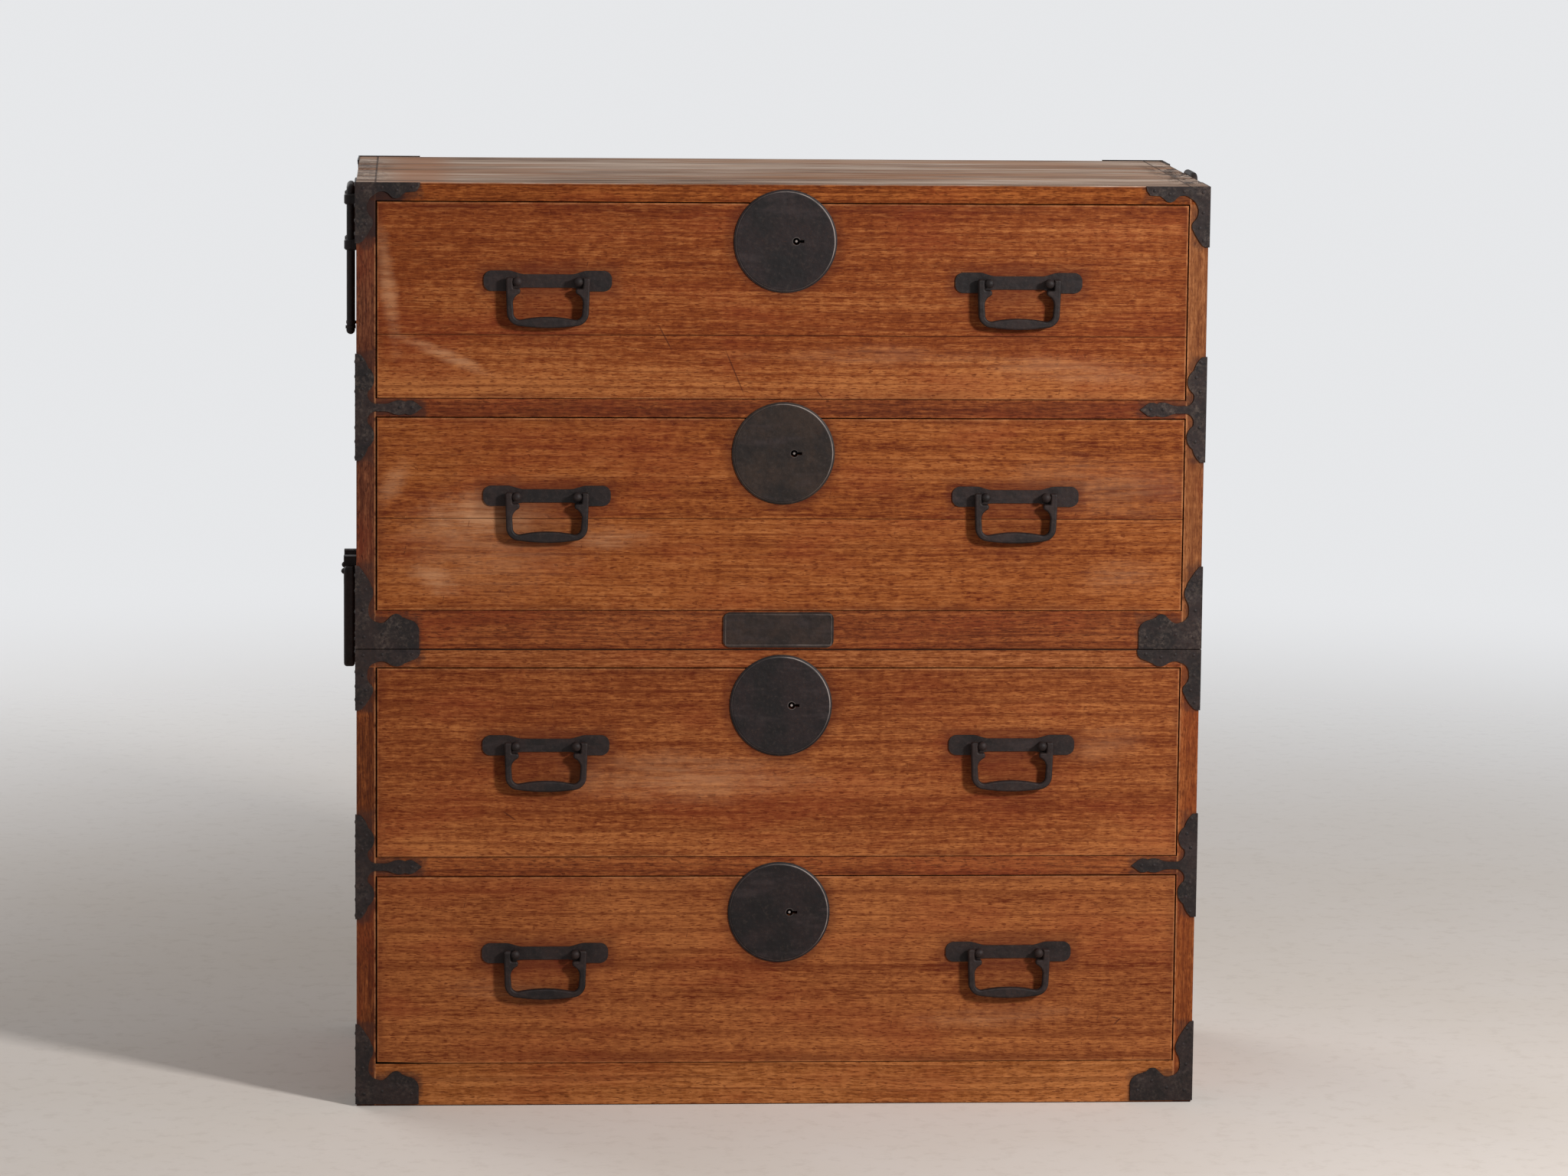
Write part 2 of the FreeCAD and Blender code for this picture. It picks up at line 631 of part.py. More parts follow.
def side_lug():
    """The rear lug of the right side bail: a forged block with a domed head, on a nailed plate."""
    block = box((HALF_W, HALF_W + LUG_OUT), LUG_Y, LUG_Z)
    plate = box((HALF_W, HALF_W + IRON_T), (LUG_Y[0] - LUG_PLATE_Y, LUG_Y[1]), LUG_PLATE_Z)
    dome = cap(*LUG_DOME)
    dome.rotate(vec(0, 0, 0), vec(0, 0, 1), 90)
    dome.translate(vec(HALF_W + LUG_OUT, sum(LUG_Y) / 2, SIDE_BAIL_Z))
    pin_y = (LUG_Y[0] - OVERRUN, LUG_Y[1] + OVERRUN)
    axis = [(SIDE_BAIL_X, y, SIDE_BAIL_Z) for y in pin_y]
    hole = rod(axis[0], axis[1], SIDE_PIN_R + PIN_PLAY)
    nail_y = LUG_Y[0] - LUG_PLATE_Y / 2
    pegs = [side_nail(nail_y, z) for z in LUG_NAIL_Z]
    return fuse([block, plate, dome]).cut(hole).cut(Part.makeCompound(pegs)), pegs


def side_bail():
    """The right lifting bail, hanging from its lugs."""
    body = bail(SIDE_BAIL_OUTER, SIDE_BAIL_INNER, SIDE_BAIL_T, SIDE_BAIL_ROUND, SIDE_PIN_R, SIDE_PIN_REACH)
    body.rotate(vec(0, 0, 0), vec(0, 0, 1), 90)
    body.translate(vec(SIDE_BAIL_X, 0, SIDE_BAIL_Z))
    return body


def name_plate():
    """A plain plate with rounded corners and a slight raised rim."""
    half_w = NAME_PLATE[0] / 2
    half_h = NAME_PLATE[1] / 2
    y = FRONT - NAME_PLATE_T

    def slab(inset, depth):
        body = box((inset - half_w, half_w - inset), (y, y + depth), (inset - half_h, half_h - inset))
        upright = [edge for edge in body.Edges if edge.BoundBox.YLength > depth / 2]
        return body.makeFillet(NAME_PLATE_R - inset, upright)

    plate = slab(0, NAME_PLATE_T).cut(slab(NAME_PLATE_RIM, NAME_PLATE_FIELD))
    plate.translate(vec(NAME_PLATE_X, 0, NAME_PLATE_Z))
    return plate


def side_hardware():
    """Guides, carrying bars, lugs and lifting bails of both sides, and their nails."""
    guides = []
    pegs = []
    for y in BAR_Y:
        for z in GUIDE_Z:
            one, its_nails = guide(y, z)
            guides += [one, mirror_x(one)]
            pegs += its_nails
    lug, lug_nails = side_lug()
    lugs = [lug, mirror_y(lug)]
    pegs += lug_nails + [mirror_y(peg) for peg in lug_nails]
    export("carry_bar_guides", *guides)
    export("side_bail_lugs", *(lugs + [mirror_x(one) for one in lugs]))
    export("side_nails", *(pegs + [mirror_x(peg) for peg in pegs]))
    bar = carry_bar()
    raised = bar.copy()
    raised.translate(vec(0, 0, BAR_RAISED))
    export("carry_bar_left", mirror_x(bar))
    export("carry_bar_right", raised)
    handle = side_bail()
    export("side_bail_left", mirror_x(handle))
    export("side_bail_right", handle)


os.makedirs("parts", exist_ok=True)
CASES = (("upper", CASE_H, UPPER_HEIGHTS, UPPER_FOOT), ("lower", 0.0, LOWER_HEIGHTS, LOWER_FOOT))
for index, (case_name, base, steps, foot) in enumerate(CASES):
    case(case_name, base, steps)
    case_irons(case_name, base, steps, foot)
    levels = heights(base + CASE_H, steps)
    first = 2 * index
    drawer(first + 1, levels[0], levels[1], PLATE_DROPS[first])
    drawer(first + 2, levels[2], levels[3], PLATE_DROPS[first + 1])
export("name_plate", name_plate())
side_hardware()
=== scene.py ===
import math
import bpy
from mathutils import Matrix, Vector


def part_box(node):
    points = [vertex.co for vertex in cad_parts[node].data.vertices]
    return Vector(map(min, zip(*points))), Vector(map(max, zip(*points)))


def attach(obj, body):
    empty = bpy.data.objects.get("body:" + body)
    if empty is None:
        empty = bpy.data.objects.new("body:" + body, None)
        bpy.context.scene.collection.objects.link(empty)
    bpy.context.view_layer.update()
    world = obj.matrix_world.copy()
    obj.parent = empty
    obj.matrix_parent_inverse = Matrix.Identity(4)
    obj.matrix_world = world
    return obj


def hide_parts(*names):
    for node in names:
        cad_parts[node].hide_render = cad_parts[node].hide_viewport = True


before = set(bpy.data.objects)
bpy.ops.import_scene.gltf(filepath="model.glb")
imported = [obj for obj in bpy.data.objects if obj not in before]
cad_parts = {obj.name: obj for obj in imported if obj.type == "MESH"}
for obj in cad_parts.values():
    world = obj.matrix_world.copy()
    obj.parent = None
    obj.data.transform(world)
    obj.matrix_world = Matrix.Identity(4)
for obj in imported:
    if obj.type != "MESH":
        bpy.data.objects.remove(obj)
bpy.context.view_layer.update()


# The viewpoint: a long lens a little above the top of the chest and left of its middle,
# so that the front is seen almost square on with a thin strip of the top.
camera = bpy.data.objects.new("viewpoint", bpy.data.cameras.new("viewpoint"))
bpy.context.scene.collection.objects.link(camera)
camera.location = (-0.4041, -6.4286, 1.4819)
camera.rotation_euler = [math.radians(turn) for turn in (81.83, -0.579, -3.665)]
camera.data.lens = 130.24
camera.data.sensor_width = 36.0
bpy.context.scene.camera = camera


# The case boards: sides, divider rails, bottom rails and inner boards of oiled, red-brown hardwood.
# Sides stand with upright grain, rails lie between them; the wood is stained dark round the irons,
# and the open top has weathered to a dusty grey-brown with dark lines round its finger joints.
class Wire:
    """A socket of one material's nodes; arithmetic on it adds Math nodes."""

    def __init__(self, tree, socket=None):
        self.tree = tree
        self.socket = socket

    def node(self, kind, settings=None, inputs=None, output=0):
        """One more node: its settings first, then the values or links of its sockets."""
        made = self.tree.nodes.new("ShaderNode" + kind)
        for name, value in (settings or {}).items():
            if name == "stops":
                ramp = made.color_ramp.elements
                ramp[0].position = value[0][0]
                ramp[1].position = value[-1][0]
                middle = [ramp.new(place) for place, colour in value[1:-1]]
                for element, (place, colour) in zip([ramp[0]] + middle + [ramp[-1]], value):
                    element.color = colour
            else:
                setattr(made, name, value)
        for name, value in (inputs or {}).items():
            if isinstance(value, Wire):
                self.tree.links.new(value.socket, made.inputs[name])
            else:
                made.inputs[name].default_value = value
        return Wire(self.tree, made.outputs[output])

    def math(self, operation, *others):
        return self.node("Math", {"operation": operation}, dict(enumerate((self,) + others)))

    def __add__(self, other):
        return self.math("ADD", other)

    __radd__ = __add__

    def __sub__(self, other):
        return self.math("SUBTRACT", other)

    def __rsub__(self, other):
        return self.node("Math", {"operation": "SUBTRACT"}, {0: other, 1: self})

    def __mul__(self, other):
        return self.math("MULTIPLY", other)

    __rmul__ = __mul__

    def size(self):
        """This number without its sign."""
        return self.math("ABSOLUTE")

    def off(self, value):
        """How far this number is from a value, either way."""
        return (self - value).size()

    def fade(self, low, high):
        """A mask that goes smoothly from 0 at low to 1 at high."""
        ends = {"Value": self, "From Min": low, "From Max": high}
        return self.node("MapRange", {"interpolation_type": "SMOOTHSTEP"}, ends)

    def mix(self, colour, other):
        """One colour where this mask is 0 and another where it is 1."""
        return self.node("Mix", {"data_type": "RGBA"}, {0: self, 6: colour, 7: other}, 2)

    def ramp(self, *stops):
        """The colour that the stops give this number; a stop is a number and a colour."""
        return self.node("ValToRGB", {"stops": stops}, {0: self})

    def stretch(self, *scale):
        """This place with each axis scaled."""
        return self.node("VectorMath", {"operation": "MULTIPLY"}, {0: self, 1: scale})

    def shift(self, *offset):
        """This place moved."""
        return self.node("VectorMath", {"operation": "ADD"}, {0: self, 1: offset})

    def turn(self, angle):
        """This place turned in the plane of the front."""
        return self.node("VectorRotate", {"rotation_type": "Y_AXIS"}, {"Vector": self, "Angle": angle})

    def reach(self):
        """How far this place is from the origin."""
        return self.node("VectorMath", {"operation": "LENGTH"}, {0: self}, 1)

    def noise(self, detail=2.0, rough=0.5, scale=1.0):
        """Cloudy noise at this place."""
        inputs = {"Vector": self, "Scale": scale, "Detail": detail, "Roughness": rough}
        return self.node("TexNoise", None, inputs)

    def bands(self, scale, detail=2.0):
        """Irregular bands along this number, as rings lie in a log."""
        inputs = {"W": self, "Scale": scale, "Detail": detail}
        return self.node("TexNoise", {"noise_dimensions": "1D"}, inputs)

    def axes(self):
        """The three numbers of this place."""
        split = self.node("SeparateXYZ", None, {0: self}).socket.node
        return [Wire(self.tree, socket) for socket in split.outputs]


def tint(red, green, blue):
    """A colour written as it looks on a screen, 0 to 255."""
    return tuple(((part / 255 + 0.055) / 1.055) ** 2.4 for part in (red, green, blue)) + (1.0,)


def middle_of(node):
    """The middle of a CAD node's box."""
    low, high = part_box(node)
    return (low + high) / 2


def new_finish(name):
    """An empty material: its first wire and its surface shader."""
    made = bpy.data.materials.new(name)
    made.use_nodes = True
    tree = made.node_tree
    return made, Wire(tree), tree.nodes["Principled BSDF"]


def settle(wire, surface, colour, roughness, height, relief):
    """Links what varies over a surface; a height of 1 is a bump as high as the relief, in metres."""
    bump = wire.node("Bump", None, {"Height": height, "Distance": relief, "Strength": 1.0})
    for name, value in (("Base Color", colour), ("Roughness", roughness), ("Normal", bump)):
        wire.tree.links.new(value.socket, surface.inputs[name])


def dress(node, finish):
    """Gives a CAD node its finish."""
    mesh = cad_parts[node].data
    mesh.materials.clear()
    mesh.materials.append(finish)


# The cases' measures, from the upper one's right side board, and where the inside of a drawer's side wall is
CASE_LOW, CASE_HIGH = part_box("upper_right_side")
HALF_W = CASE_HIGH.x
INNER_X = CASE_LOW.x
FRONT_Y = CASE_LOW.y
BACK_Y = CASE_HIGH.y
JOINT_Z = CASE_LOW.z
TOP_Z = CASE_HIGH.z
FINGERS = 9
WALL_T = 0.010
WALL_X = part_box("drawer_1_walls")[1].x - WALL_T


def graded(tone, tones):
    """The dark, middle and light tone of a wood, by a number that is about 0.5 on the average."""
    dark, middle, light = tones
    return tone.ramp((0.16, dark), (0.50, middle), (0.84, light))


def wood(name, grain, seed, tones, seams=(), marks=None, dryness=0.0, blush=0.3, faces=None):
    """Wood with the grain along one axis, in a dark, a middle and a light tone.

    The grain "XY" is for drawer walls: the side walls run to the back, and the rear wall runs across.
    Seams are the heights where one plank ends on the next. Marks paint what has come onto the wood.
    The tones called faces are for all that lies behind a side board's front edge.
    """
    made, wire, surface = new_finish(name)
    dark, _, light = tones
    place = wire.node("TexCoord", output=3)
    x, y, z = place.axes()
    if grain == "XY":
        turned = x.size().fade(WALL_X - 0.0005, WALL_X - 0.0003)
        along, across, deep = x + (y - x) * turned, z, y + (x - y) * turned
    else:
        along, across, deep = {"X": (x, z, y), "Z": (z, y, x), "Y": (y, z, x)}[grain]
    plank = along * 0.0
    joint = along * 0.0
    for seam in seams:
        wander = (place.stretch(9.0, 0.0, 0.0).noise(2.0) - 0.5) * 0.0012
        plank = plank + across.math("GREATER_THAN", seam)
        joint = joint + (1.0 - (across + wander).off(seam).fade(0.0001, 0.0009))
    # A place along the grain, across it and into the board, moved so that planks aren't alike
    moved = {0: along + seed * 1.7 + plank * 3.1, 1: across, 2: deep + seed * 0.37}
    board = wire.node("CombineXYZ", None, moved)

    # The growth rings, by how far they are from the heart of the log, which lies outside the board
    slow = (board.stretch(1.2, 2.5, 2.5).noise(2.0) - 0.5) * 0.018
    sway = slow + (board.stretch(9.0, 25.0, 25.0).noise(1.0) - 0.5) * 0.0018
    run, up, back = board.axes()
    rise = up + 0.31 + seed * 0.01 + sway
    ring = (rise * rise + (back - 0.12) * (back - 0.12) * 0.2).math("SQRT") + plank * 0.77
    broad = ring.bands(34.0, 3.0)
    stripes = ring.bands(210.0, 3.0)
    late = (ring * 1300.0 + stripes * 5.0).math("SINE")

    # The fibres from the longest to the shortest, which follow the rings, and the cloudy colour under them
    lay = wire.node("CombineXYZ", None, {0: run, 1: rise, 2: back})
    streaks = lay.stretch(2.5, 90.0, 90.0).noise(3.0, 0.6)
    dashes = lay.stretch(13.0, 450.0, 450.0).noise(2.0, 0.65)
    strokes = lay.stretch(75.0, 560.0, 560.0).noise(2.0, 0.7)
    pores = lay.stretch(120.0, 900.0, 900.0).noise(1.0)
    clouds = board.stretch(3.5, 8.0, 8.0).noise(4.0, 0.65)
    mottle = board.stretch(110.0, 95.0, 95.0).noise(3.0, 0.75)
    flecks = board.stretch(130.0, 260.0, 260.0).noise(0.0).fade(0.74, 0.80)

    # The tone is their weighted sum, brought to about 0.5 on the average, and a little apart on each plank
    tone = broad * 0.70 + stripes * 0.30 + streaks * 0.45 + dashes * 0.68
    tone = tone + strokes * 0.82 + clouds * 0.50 + mottle * 0.62
    tone = tone - 1.51 + (plank * 4.5).math("SINE") * 0.06
    colour = graded(tone, tones)
    if faces:
        colour = y.fade(FRONT_Y + 0.0004, FRONT_Y + 0.0016).mix(colour, graded(tone, faces))

    # Late wood, rosy patches, pale fibres, pores, flecks and end grain
    shade = late.fade(0.45, 0.95) * streaks.fade(0.36, 0.56) * (0.15 + strokes * 0.6)
    colour = shade.mix(colour, dark)
    rosy = board.stretch(5.0, 13.0, 13.0).shift(7.0, 3.0, 1.0).noise(3.0, 0.6).fade(0.48, 0.66)
    colour = (rosy * blush).mix(colour, tint(124, 50, 26))
    pale = lay.stretch(40.0, 420.0, 420.0).shift(2.0, 9.0, 4.0).noise(2.0, 0.6).fade(0.54, 0.70)
    colour = (pale * 0.4).mix(colour, light)
    colour = (pores.fade(0.54, 0.70) * 0.8).mix(colour, dark)
    colour = (flecks * 0.5).mix(colour, dark)
    facing = wire.node("TexCoord", output=1).axes()["XYZ".index(grain[-1])]
    colour = (facing.size().fade(0.6, 0.8) * 0.5).mix(colour, dark)

    if marks:
        colour = marks(place, board, colour)
    colour = (joint * 0.7).mix(colour, tint(56, 24, 11))
    roughness = 0.50 + dryness + dashes * 0.2 + pores * 0.1
    height = stripes * 0.25 + late * 0.08 - pores * 0.5 + strokes * 0.5 - flecks - joint * 2.5
    settle(wire, surface, colour, roughness, height, 0.00022)
    surface.inputs["Specular IOR Level"].default_value = 0.10
    return made


def weathered(place, board, dust):
    """The grey-brown of wood that lies open to light and dust, on the chest's upward face."""
    x, y, _ = place.axes()
    long_fibres = board.stretch(1.4, 11.0, 11.0).noise(4.0, 0.7)
    short_fibres = board.stretch(7.0, 120.0, 120.0).noise(3.0, 0.7)
    age = long_fibres * 0.65 + short_fibres * 0.35
    grey = age.ramp((0.40, tint(106, 82, 68)), (0.49, tint(166, 139, 121)), (0.58, tint(208, 184, 166)))
    bare = board.stretch(1.6, 16.0, 16.0).shift(4.0, 1.0, 0.0).noise(4.0, 0.7).fade(0.50, 0.62)
    grey = (bare * 0.5).mix(grey, tint(172, 116, 76))
    grey = (place.noise(3.0, 0.7, 90.0) * (dust * 0.3)).mix(grey, tint(196, 178, 162))
    front = 1.0 - (y - FRONT_Y).fade(0.0, 0.006)
    rubbed = place.stretch(30.0, 0.0, 0.0).noise(3.0, 0.6).fade(0.4, 0.6)
    grey = (front * rubbed * 0.5).mix(grey, tint(150, 92, 52))
    warm = (1.0 - x.off(-0.40).fade(0.01, 0.05)) * age.fade(0.40, 0.52)
    grey = (warm * 0.5).mix(grey, tint(176, 112, 70))

    # Dark lines between the fingers and across their roots, and chips that have broken off there
    outward = x.size()
    between = ((y - FRONT_Y) * (FINGERS / (BACK_Y - FRONT_Y))).math("FRACT").off(0.5).fade(0.42, 0.47)
    lines = between * outward.fade(INNER_X - 0.001, INNER_X + 0.001)
    lines = lines + (1.0 - outward.off(INNER_X).fade(0.0006, 0.0016))
    chips = place.stretch(70.0, 30.0, 0.0).noise(4.0, 0.7).fade(0.47, 0.53) * outward.fade(0.42, 0.46)
    chips = chips * (1.0 - y.off(-0.03).fade(0.12, 0.18)) * (0.5 + x.fade(-0.1, 0.1) * 0.5)
    return (lines * 0.75).math("MAXIMUM", chips * 0.9).mix(grey, tint(44, 31, 26))


def ironed(legs, left_legs=(), dust=0.0, sill=None):
    """Marks of the irons on a case board: a dark bleed round each leg, and painted shade in the seam of the
    cases and along the chest's bottom edge.

    A leg is how far it runs in from the case's edge, the height of its middle and half its width.
    The left legs darken the left side alone. Dust is for boards that reach the open top.
    A sill is the height of a rail's top, which is painted dark, partly as dirt and partly as shade, where a
    drawer's front stands over it.
    """

    def paint(place, board, colour):
        x, y, z = place.axes()
        depth = y - FRONT_Y
        inward = HALF_W - x.size() + depth
        rough = place.noise(4.0, 0.65, 70.0)
        left = 1.0 - x.fade(-0.01, 0.01)
        for run, middle, half in legs:
            gap = (inward - run).math("MAXIMUM", z.off(middle) - half) + (rough - 0.5) * 0.026 - left * 0.001
            colour = ((1.0 - gap.fade(-0.002, 0.008)) * (0.55 + left * 0.15)).mix(colour, tint(56, 34, 28))
        # A pale line down the inner front arris of each side board: painted highlight and wear
        arris = x.size().off(INNER_X + 0.0005).math("MAXIMUM", depth - 0.001)
        worn_and_highlit = (1.0 - arris.fade(0.0005, 0.0014)) * rough.fade(0.35, 0.6)
        colour = (worn_and_highlit * 0.6).mix(colour, tint(170, 112, 72))
        for run, middle, half in left_legs:
            gap = (inward - run).math("MAXIMUM", z.off(middle) - half) + (rough - 0.5) * 0.012
            colour = ((1.0 - gap.fade(-0.004, 0.004)) * left * 0.9).mix(colour, tint(44, 30, 28))
        if dust:
            colour = z.fade(TOP_Z - 0.0015, TOP_Z - 0.0002).mix(colour, weathered(place, board, dust))
        if sill:
            # Painted shade with some dirt: the rail's top just behind the drawer gap is darkened almost to
            # black
            under = z.fade(sill - 0.0004, sill - 0.0001) * depth.fade(0.0003, 0.0008)
            under = under * (1.0 - depth.fade(0.014, 0.024))
            colour = (under * 0.95).mix(colour, tint(16, 9, 6))
        # Painted shade: the seam between the cases and the chest's bottom edge are darkened near the outer
        # faces
        seam = (1.0 - z.off(JOINT_Z).fade(0.0007, 0.0013)) + (1.0 - z.fade(0.0005, 0.0016))
        outside = (x.size() - HALF_W).math("MAXIMUM", y.size() - BACK_Y) + (rough - 0.5) * 0.004
        return (seam * outside.fade(-0.004, -0.001) * 0.9).mix(colour, tint(24, 13, 9))

    return paint


SIDE_TONES = (tint(80, 34, 13), tint(118, 60, 28), tint(154, 90, 50))
EDGE_TONES = {
    ("upper", "left"): (tint(56, 24, 14), tint(86, 44, 27), tint(124, 74, 48)),
    ("upper", "right"): (tint(94, 48, 24), tint(130, 77, 42), tint(162, 106, 66)),
    ("lower", "left"): (tint(66, 28, 12), tint(100, 50, 22), tint(140, 80, 42)),
    ("lower", "right"): (tint(88, 38, 14), tint(121, 61, 26), tint(156, 90, 46)),
}
RAIL_TONES = (tint(70, 26, 10), tint(112, 54, 24), tint(150, 86, 44))
FOOT_TONES = {
    "upper": RAIL_TONES,
    "lower": (tint(90, 40, 12), tint(131, 73, 32), tint(170, 106, 58)),
}
LID_TONES = {
    "upper": (tint(80, 32, 10), tint(119, 59, 24), tint(160, 92, 44)),
    "lower": (tint(88, 36, 12), tint(129, 70, 33), tint(168, 104, 60)),
}
INSIDE_TONES = (tint(150, 120, 86), tint(176, 146, 108), tint(196, 170, 130))
for number, case in enumerate(("upper", "lower")):
    low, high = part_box(case + "_left_side")
    divider = case + "_divider_rail"
    foot = case + "_bottom_rail"
    strap_z = middle_of(divider).z
    # The irons at each end of the front: a flat leg and an upright leg, as ironed takes them
    top_legs = ((0.068, high.z - 0.007, 0.007), (0.014, high.z - 0.034, 0.033))
    strap_legs = ((0.072, strap_z, 0.007), (0.014, strap_z, 0.058))
    foot_legs = ((0.068, low.z + 0.018, 0.016), (0.014, low.z + 0.047, 0.045))
    # The wood is darker, over a wider patch, round the upper case's left top iron
    open_top = case == "upper"
    left_legs = ((0.030, high.z - 0.030, 0.030),) if open_top else ()
    left_lid_legs = ((0.052, high.z - 0.010, 0.014),) if open_top else ()
    for side in ("left", "right"):
        board = case + "_" + side + "_side"
        tones = EDGE_TONES[case, side]
        paint = ironed(top_legs + strap_legs + foot_legs, left_legs, 1.0 if open_top else 0.0)
        dress(board, wood(board + "_wood", "Z", 3.0 + number, tones, marks=paint, faces=SIDE_TONES))
    paint = ironed(strap_legs[:1], sill=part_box(divider)[1].z)
    dress(divider, wood(case + "_divider_wood", "X", 5.0 + number, RAIL_TONES, marks=paint))
    paint = ironed(foot_legs[:1], sill=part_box(foot)[1].z)
    dress(foot, wood(foot + "_wood", "X", 7.0 + number, FOOT_TONES[case], marks=paint))
    paint = ironed(top_legs[:1], left_lid_legs, 0.3 if open_top else 0.0)
    dryness = 0.3 if open_top else 0.0
    lid = wood(case + "_top_wood", "X", 1.0 + number, LID_TONES[case], marks=paint, dryness=dryness)
    dress(case + "_top_board", lid)
    for part in ("dust_shelf", "bottom_board"):
        board = case + "_" + part
        dress(board, wood(board + "_wood", "X", 9.0 + number, INSIDE_TONES, dryness=0.2, blush=0.08))


# The backs: each is four plain softwood planks edge to edge, held by wooden pegs at their ends and middles.
# The planks keep the size of the panel that they make up; their arrises are rounded off.
BACK_TONES = (tint(120, 84, 54), tint(152, 114, 78), tint(178, 141, 103))
PEG_TONES = (tint(66, 42, 26), tint(92, 62, 40), tint(116, 82, 54))
PLANKS = 4
PLANK_GAP = 0.0004
PEG_R = 0.0032
PEG_LENGTH = 0.008
PEG_OUT = 0.0006
PEG_COLUMNS = (-0.44, -0.15, 0.15, 0.44)
# How far up its plank a peg sits
PEG_RISES = (0.22, 0.78)


def opened(name):
    """A new object whose mesh is empty and open, so that pieces can be added to it."""
    bpy.ops.object.select_all(action="DESELECT")
    bpy.ops.mesh.primitive_cube_add(location=(0.0, 0.0, 0.0))
    made = bpy.context.object
    made.name = name
    bpy.ops.object.mode_set(mode="EDIT")
    bpy.ops.mesh.select_all(action="SELECT")
    bpy.ops.mesh.delete(type="VERT")
    return made


def rounded(made, width, segments):
    """Closes the mesh again and rounds its arrises."""
    bpy.ops.object.mode_set(mode="OBJECT")
    bevel = made.modifiers.new("rounding", "BEVEL")
    bevel.width = width
    bevel.segments = segments
    bpy.ops.object.modifier_apply(modifier=bevel.name)


for number, case in enumerate(("upper", "lower")):
    low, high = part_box(case + "_back_panel")
    centre = middle_of(case + "_back_panel")
    plank_h = (high.z - low.z) / PLANKS
    planks = opened(case + "_back_planks")
    for row in range(PLANKS):
        middle = (centre.x, centre.y, low.z + plank_h * (row + 0.5))
        size = (high.x - low.x, high.y - low.y, plank_h - PLANK_GAP)
        bpy.ops.mesh.primitive_cube_add(size=1.0, location=middle, scale=size)
    rounded(planks, 0.0012, 3)
    seams = [low.z + plank_h * row for row in range(1, PLANKS)]
    finish = wood(case + "_back_wood", "X", 15.0 + number, BACK_TONES, seams, dryness=0.2, blush=0.1)
    planks.data.materials.append(finish)
    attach(planks, case + "_case")
    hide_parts(case + "_back_panel")

    pegs = opened(case + "_back_pegs")
    peg_y = high.y + PEG_OUT - PEG_LENGTH / 2
    for row in range(PLANKS):
        for peg_x in PEG_COLUMNS:
            for rise in PEG_RISES:
                middle = (peg_x, peg_y, low.z + plank_h * (row + rise))
                bpy.ops.mesh.primitive_cylinder_add(
                    vertices=12,
                    radius=PEG_R,
                    depth=PEG_LENGTH,
                    location=middle,
                    rotation=(math.pi / 2, 0.0, 0.0),
                )
    rounded(pegs, 0.0005, 2)
    pegs.data.materials.append(wood(case + "_peg_wood", "Y", 17.0 + number, PEG_TONES))
    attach(pegs, case + "_case")


# The drawers: wide front planks of the case's wood, oiled and handled for generations, on boxes of pale wood.
# Two fronts are glued from two planks; all are dark round their iron and rubbed pale by hands and cloth, with
# a painted highlight on their arrises.
HANDLE_X = 0.26
# How far a handle's two backplates reach to either side of its middle
BACKPLATE_REACH = 0.070
CUT_HALF_W = 0.0009


